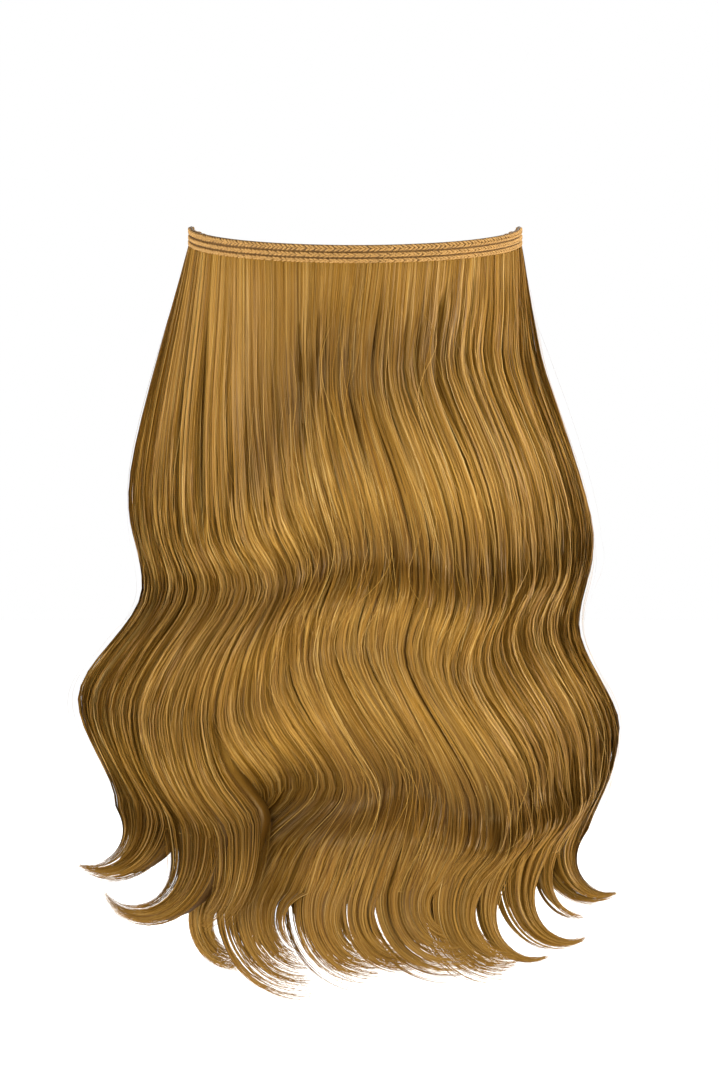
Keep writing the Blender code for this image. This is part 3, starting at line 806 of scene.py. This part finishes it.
def clip_edges():
    """Edges of a clip in its own plane: its rim, and the opening that the comb reaches into."""
    half, foot, corner = CLIP_WIDTH / 2, CLIP_FOOT_WIDTH / 2, CLIP_RIM * 1.6
    bottom, bar = CLIP_TOP - CLIP_HEIGHT, CLIP_TOP - CLIP_BAR_HEIGHT
    rim = []
    for quarter in range(7):
        turned = math.radians(90 * quarter / 6)
        across, down = 1.4 * MM * (1 - math.sin(turned)), 1.4 * MM * (1 - math.cos(turned))
        rim.append((half - down, CLIP_TOP - across))
    rim = rim[::-1] + [(half, bar + 0.7 * MM), (half - 0.5 * MM, bar)]
    for quarter in range(9):
        turned = math.radians(90 * quarter / 8)
        across, down = corner * (1 - math.cos(turned)), corner * (1 - math.sin(turned))
        rim.append((foot - across, bottom + down))
    rim += [(-x, z) for x, z in reversed(rim)]
    low = bottom + CLIP_RIM
    wide, narrow = half - CLIP_RIM - 0.4 * MM, foot - CLIP_RIM
    opening = [(-narrow + 0.8 * MM, low), (narrow - 0.8 * MM, low), (narrow, low + 0.8 * MM)]
    opening += [(wide, bar - 0.6 * MM), (wide - 0.6 * MM, bar)]
    reach = narrow - TOOTH_WIDTH
    for tooth in reversed(range(TOOTH_COUNT)):
        middle = reach * (2 * tooth / (TOOTH_COUNT - 1) - 1)
        root, tip = TOOTH_WIDTH / 2, TOOTH_WIDTH * 0.3
        opening.append((middle + root * 1.5, bar))
        opening.append((middle + root, bar - 0.7 * MM))
        for step in range(5):
            turned = math.radians(180 * step / 4)
            down = bar - TOOTH_LENGTH + tip - tip * math.sin(turned)
            opening.append((middle + tip * math.cos(turned), down))
        opening.append((middle - root, bar - 0.7 * MM))
        opening.append((middle - root * 1.5, bar))
    opening += [(-wide + 0.6 * MM, bar), (-wide, bar - 0.6 * MM), (-narrow, low + 0.8 * MM)]
    return rim, opening


def clip_mesh():
    """A clip in its own plane, its head side at y = 0, with rounded edges."""
    mesh = bmesh.new()
    holes = []
    for side in SEWING_SIDES:
        hole = []
        for corner in range(HOLE_CORNERS):
            turned = 2 * math.pi * corner / HOLE_CORNERS
            across = SEWING_HOLE_SPACING * side + SEWING_HOLE_RADIUS * math.cos(turned)
            hole.append((across, SEWING_HEIGHT + SEWING_HOLE_RADIUS * math.sin(turned)))
        holes.append(hole)
    for outline in (*clip_edges(), *holes):
        verts = [mesh.verts.new((x, 0.0, z)) for x, z in outline]
        for a, b in zip(verts, verts[1:] + verts[:1]):
            mesh.edges.new((a, b))
    bmesh.ops.triangle_fill(mesh, edges=mesh.edges[:], use_beauty=True)
    bmesh.ops.join_triangles(
        mesh, faces=mesh.faces[:], angle_face_threshold=3.2, angle_shape_threshold=3.2
    )
    grown = bmesh.ops.extrude_face_region(mesh, geom=mesh.faces[:])
    moved = [item for item in grown["geom"] if isinstance(item, bmesh.types.BMVert)]
    bmesh.ops.translate(mesh, verts=moved, vec=(0.0, -CLIP_THICKNESS * 0.8, 0.0))
    bmesh.ops.recalc_face_normals(mesh, faces=mesh.faces[:])
    sharp = [edge for edge in mesh.edges if edge.calc_face_angle(0.0) > math.radians(60)]
    bmesh.ops.bevel(
        mesh, geom=sharp, offset=CLIP_BEVEL, segments=2, profile=0.6, affect="EDGES",
        clamp_overlap=True,
    )
    # Teeth reach to the hair behind them, and the foot is pressed to the head.
    bar = CLIP_TOP - CLIP_BAR_HEIGHT
    for vert in mesh.verts:
        below = max(0.0, bar - vert.co.z) / TOOTH_LENGTH
        comb = abs(vert.co.x) < CLIP_FOOT_WIDTH / 2 - CLIP_RIM and below < 1.05
        vert.co.y -= COMB_REACH * min(below, 1.0) ** 2 * comb
    for face in mesh.faces:
        face.smooth = True
    made = bpy.data.meshes.new("clip")
    mesh.to_mesh(made)
    mesh.free()
    made.materials.append(clip_material)
    return made


def clip_frame(angle):
    """Where a clip sits: laid flat inside the weft and tilted as the weft rises."""
    turned = math.radians(angle)
    along = Vector((HEAD_HALF_WIDTH * math.cos(turned), HEAD_DEPTH * math.sin(turned)))
    slope = WEFT_RISE * math.sin(turned) / along.length
    heading = Matrix.Rotation(math.atan2(along.y, along.x), 4, "Z")
    tilt = Matrix.Rotation(-math.atan(slope), 4, "Y")
    place = head_points(np.array([float(angle)]), 0.0, 0.0)[0]
    return Matrix.Translation(place) @ heading @ tilt


def clip_threads(seat):
    """Points, faces and maps of the threads that sew a clip's bar to the weft."""
    points, faces, maps, used = [], [], [], 0
    rows, sides = THREAD_POINTS, STITCH_SIDES
    way = np.linspace(0, 1, rows)
    turned = np.pi * way
    above = CLIP_TOP + SEWN_GAP
    middle, rise_by = (SEWING_HEIGHT + above) / 2, (above - SEWING_HEIGHT) / 2
    for side in SEWING_SIDES:
        for strand in range(THREADS_PER_HOLE):
            shift = (strand - (THREADS_PER_HOLE - 1) / 2) * THREAD_PITCH
            x = SEWING_HOLE_SPACING * side + shift * 0.6
            path = np.stack(
                [
                    x + shift * 1.1 * way,
                    0.25 * MM * np.sin(turned) ** 0.5 - 2.3 * MM * np.abs(2 * way - 1) ** 6,
                    middle - rise_by * np.cos(turned) * 1.05,
                ],
                -1,
            )
            tangent = unit(np.gradient(path, axis=0))
            across = unit(np.cross(tangent, np.array([1.0, 0.3, 0.2])))
            over = np.cross(across, tangent)
            turns = np.linspace(0, 2 * np.pi, sides + 1)[:-1, None]
            around = across[:, None] * np.cos(turns) + over[:, None] * np.sin(turns)
            rings = path[:, None] + THREAD_RADIUS * around
            index = used + np.arange(rows * sides).reshape(rows, sides)
            after = np.roll(index, -1, axis=1)
            quads = np.stack([index[:-1], after[:-1], after[1:], index[1:]], -1)
            faces.append(quads.reshape(-1, 4))
            points.append(rings.reshape(-1, 3))
            u = RANDOM.uniform(*STITCH_TONES) + np.abs(np.linspace(-1, 1, sides)) * 0.06
            v = np.linspace(0.98, 0.02, rows)
            uv = np.stack(np.broadcast_arrays(u[None], v[:, None]), -1)
            maps.append(uv.reshape(-1, 2))
            used += rows * sides
    points = np.concatenate(points)
    turn, place = np.array(seat.to_3x3()), np.array(seat.translation)
    return points @ turn.T + place, np.concatenate(faces), np.concatenate(maps)


# Materials

def nodes_of(name):
    """A new material, with its nodes, its links and its shader."""
    material = bpy.data.materials.new(name)
    material.use_nodes = True
    tree = material.node_tree
    return material, tree.nodes, tree.links, tree.nodes["Principled BSDF"]


def ramp(nodes, stops):
    node = nodes.new("ShaderNodeValToRGB")
    elements = node.color_ramp.elements
    elements[0].position, elements[0].color = stops[0][0], (*stops[0][1], 1)
    elements[1].position, elements[1].color = stops[-1][0], (*stops[-1][1], 1)
    for place, colour in stops[1:-1]:
        elements.new(place).color = (*colour, 1)
    return node


def hair_material(name, painted_shade_factor):
    """Strands in many shades of golden blond, with painted shade in the hollows of the waves and
    painted highlight between them, all scaled by a factor of painted shade.
    """
    material, nodes, links, shader = nodes_of(name)
    place = nodes.new("ShaderNodeUVMap")
    place.uv_map = "OFBake"
    stretch = nodes.new("ShaderNodeMapping")
    stretch.inputs["Scale"].default_value = (330.0, 2.2, 1.0)
    links.new(place.outputs["UV"], stretch.inputs["Vector"])
    shade = nodes.new("ShaderNodeTexNoise")
    shade.inputs["Scale"].default_value = 1.0
    shade.inputs["Detail"].default_value = 4.0
    shade.inputs["Roughness"].default_value = 0.7
    links.new(stretch.outputs["Vector"], shade.inputs["Vector"])
    # Every shade is scaled by a factor of painted shade, lower for hair that lies in shade under
    # the strands
    stops = [(at, tuple(painted_shade_factor * c for c in colour)) for at, colour in HAIR_SHADES]
    colours = ramp(nodes, stops)
    pale = ramp(nodes, [(at, (pale,) * 3) for at, pale in PALE_LANES])
    pale.color_ramp.interpolation = "CONSTANT"
    across = nodes.new("ShaderNodeSeparateXYZ")
    lifted = nodes.new("ShaderNodeMath")
    lifted.operation = "ADD"
    links.new(place.outputs["UV"], across.inputs["Vector"])
    links.new(across.outputs["X"], pale.inputs["Fac"])
    links.new(shade.outputs["Fac"], lifted.inputs[0])
    links.new(pale.outputs["Color"], lifted.inputs[1])
    links.new(lifted.outputs[0], colours.inputs["Fac"])

    # Painted shade in the hollows of the waves and painted highlight on their crests, in bands
    # down the hair at a slightly different height on each strand
    ragged = nodes.new("ShaderNodeMath")
    ragged.operation = "MULTIPLY_ADD"
    ragged.inputs[1].default_value = 0.05
    links.new(shade.outputs["Fac"], ragged.inputs[0])
    links.new(across.outputs["Y"], ragged.inputs[2])
    sides = nodes.new("ShaderNodeMath")
    sides.operation = "GREATER_THAN"
    sides.inputs[1].default_value = 0.495
    links.new(across.outputs["X"], sides.inputs[0])
    painted_bands = []
    for table in (MIDDLE_PAINTED_SHADE_BANDS, SIDE_PAINTED_SHADE_BANDS):
        rows = [(float(map_height(at)) + 0.025, level / 1.4) for at, level in reversed(table)]
        painted_bands.append(ramp(nodes, [(at, (f, f**1.12, f**1.35)) for at, f in rows]))
        links.new(ragged.outputs[0], painted_bands[-1].inputs["Fac"])
    either = nodes.new("ShaderNodeMix")
    either.data_type = "RGBA"
    links.new(sides.outputs[0], either.inputs["Factor"])
    links.new(painted_bands[0].outputs["Color"], either.inputs[6])
    links.new(painted_bands[1].outputs["Color"], either.inputs[7])
    shaded = nodes.new("ShaderNodeMix")
    shaded.data_type, shaded.blend_type = "RGBA", "MULTIPLY"
    shaded.inputs["Factor"].default_value = 1.0
    links.new(colours.outputs["Color"], shaded.inputs[6])
    links.new(either.outputs[2], shaded.inputs[7])
    links.new(shaded.outputs[2], shader.inputs["Base Color"])
    shader.inputs["Roughness"].default_value = 0.38
    shader.inputs["Specular IOR Level"].default_value = 0.22
    shader.inputs["Specular Tint"].default_value = (1.0, 0.80, 0.48, 1.0)
    return material


def thread_stuff():
    """Sewing thread and bound hair: many close tones, with the fine twist of the thread; the bound
    hair is painted dark, as shade between the stitches.
    """
    material, nodes, links, shader = nodes_of("weft_thread")
    place = nodes.new("ShaderNodeUVMap")
    place.uv_map = "OFBake"
    stretch = nodes.new("ShaderNodeMapping")
    stretch.inputs["Scale"].default_value = (60.0, 14.0, 1.0)
    stretch.inputs["Rotation"].default_value = (0.0, 0.0, 0.35)
    links.new(place.outputs["UV"], stretch.inputs["Vector"])
    shade = nodes.new("ShaderNodeTexNoise")
    shade.inputs["Scale"].default_value = 1.0
    shade.inputs["Detail"].default_value = 4.0
    shade.inputs["Roughness"].default_value = 0.75
    links.new(stretch.outputs["Vector"], shade.inputs["Vector"])
    colours = ramp(nodes, THREAD_SHADES)
    links.new(shade.outputs["Fac"], colours.inputs["Fac"])
    across = nodes.new("ShaderNodeSeparateXYZ")
    links.new(place.outputs["UV"], across.inputs["Vector"])
    # Painted shade on the bound strip between the stitches, and lighter tones on the stitches
    strip = ramp(nodes, STRIP_SHADE_AND_STITCH_TONES)
    links.new(across.outputs["X"], strip.inputs["Fac"])
    both = nodes.new("ShaderNodeMix")
    both.data_type, both.blend_type = "RGBA", "MULTIPLY"
    both.inputs["Factor"].default_value = 1.0
    links.new(colours.outputs["Color"], both.inputs[6])
    links.new(strip.outputs["Color"], both.inputs[7])
    links.new(both.outputs[2], shader.inputs["Base Color"])
    shader.inputs["Roughness"].default_value = 0.62
    shader.inputs["Specular IOR Level"].default_value = 0.3
    return material


def clip_stuff():
    """Lacquered steel: bronze-brown paint with fine mottling, a little rubbed."""
    material, nodes, links, shader = nodes_of("clip_lacquer")
    place = nodes.new("ShaderNodeTexCoord")
    mottle = nodes.new("ShaderNodeTexNoise")
    mottle.inputs["Scale"].default_value = 420.0
    mottle.inputs["Detail"].default_value = 5.0
    links.new(place.outputs["Object"], mottle.inputs["Vector"])
    colours = ramp(nodes, LACQUER_SHADES)
    links.new(mottle.outputs["Fac"], colours.inputs["Fac"])
    links.new(colours.outputs["Color"], shader.inputs["Base Color"])
    rough = ramp(nodes, LACQUER_ROUGHNESS)
    links.new(mottle.outputs["Fac"], rough.inputs["Fac"])
    links.new(rough.outputs["Color"], shader.inputs["Roughness"])
    shader.inputs["Metallic"].default_value = 0.35
    shader.inputs["Coat Weight"].default_value = 0.4
    shader.inputs["Coat Roughness"].default_value = 0.2
    return material


# Studio

def add_light(light):
    lamp = bpy.data.lights.new(light.name, "AREA")
    lamp.size = light.size
    lamp.energy = light.watts
    lamp.color = light.colour
    item = bpy.data.objects.new(light.name, lamp)
    item.location = light.place
    aim = Vector(LIGHTS_AIM) - Vector(light.place)
    item.rotation_euler = aim.to_track_quat("-Z", "Y").to_euler()
    bpy.context.scene.collection.objects.link(item)


def build_studio():
    scene = bpy.context.scene
    scene.view_settings.view_transform = "Standard"
    world = bpy.data.worlds.new("studio")
    scene.world = world
    world.use_nodes = True
    nodes, links = world.node_tree.nodes, world.node_tree.links
    place = nodes.new("ShaderNodeTexCoord")
    height = nodes.new("ShaderNodeSeparateXYZ")
    dome = ramp(nodes, ((0.16, (1.0, 1.0, 1.0)), (0.42, (DOME, DOME, DOME))))
    links.new(place.outputs["Generated"], height.inputs["Vector"])
    links.new(height.outputs["Z"], dome.inputs["Fac"])
    links.new(dome.outputs["Color"], nodes["Background"].inputs["Color"])
    nodes["Background"].inputs["Strength"].default_value = 1.0
    for light in LIGHTS:
        add_light(light)

    across = (PHOTO_WIDTH / 2 - ORIGIN_PIXEL[0]) * PIXEL
    down = (PHOTO_HEIGHT / 2 - ORIGIN_PIXEL[1]) * PIXEL
    camera = bpy.data.cameras.new("camera")
    camera.sensor_width = SENSOR_WIDTH
    camera.lens = camera.sensor_width * CAMERA_DISTANCE / (PHOTO_HEIGHT * PIXEL)
    item = bpy.data.objects.new("camera", camera)
    item.location = (across, -CAMERA_DISTANCE, -down)
    item.rotation_euler = (math.radians(90), 0.0, 0.0)
    scene.collection.objects.link(item)
    scene.camera = item


def build_floor():
    material, _, _, shader = nodes_of("floor")
    shader.inputs["Base Color"].default_value = (0.9, 0.9, 0.9, 1.0)
    shader.inputs["Roughness"].default_value = 0.9
    shader.inputs["Emission Color"].default_value = (1.0, 1.0, 1.0, 1.0)
    shader.inputs["Emission Strength"].default_value = FLOOR_GLOW
    mesh = bmesh.new()
    bmesh.ops.create_circle(mesh, cap_ends=True, segments=96, radius=FLOOR_RADIUS)
    bmesh.ops.translate(mesh, verts=mesh.verts[:], vec=(0.0, 0.0, FLOOR_HEIGHT))
    made = bpy.data.meshes.new("floor")
    mesh.to_mesh(made)
    mesh.free()
    made.materials.append(material)
    floor = bpy.data.objects.new("floor", made)
    bpy.context.scene.collection.objects.link(floor)


# Assembly

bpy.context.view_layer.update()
build_studio()
build_floor()
strand_material = hair_material("hair_strands", 1.0)
# The core under the strands is painted darker, as shade inside the hair
core_material = hair_material("hair_core", 0.7)
for section in SECTIONS:
    core = build_core(section, core_material)
    strands = build_strands(section, strand_material)
    for piece in (core, strands):
        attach(piece, "root")
        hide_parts(section.name)

flyaways = build_flyaways(strand_material)
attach(flyaways, "root")

thread_material = thread_stuff()
top = WEFT_HEIGHT / 2
for name, height in ROW_HEIGHTS.items():
    above = 0.0 if name == "weft_row_upper" else SEWN_GAP
    below = 0.0 if name == "weft_row_lower" else SEWN_GAP
    row = build_row(name, top, height, (above, below))
    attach(row, "root")
    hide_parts(name)
    top -= height + SEWN_GAP

clip_material = clip_stuff()
clip_shape = clip_mesh()
for name, angle in CLIP_ANGLES.items():
    clip = bpy.data.objects.new(name + "_formed", clip_shape)
    clip.matrix_world = clip_frame(angle)
    bpy.context.scene.collection.objects.link(clip)
    threads = add_mesh(name + "_threads", *clip_threads(clip_frame(angle)), thread_material)
    for piece, slot in ((clip, "clip"), (threads, "weft")):
        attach(piece, "root")
    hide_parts(name)
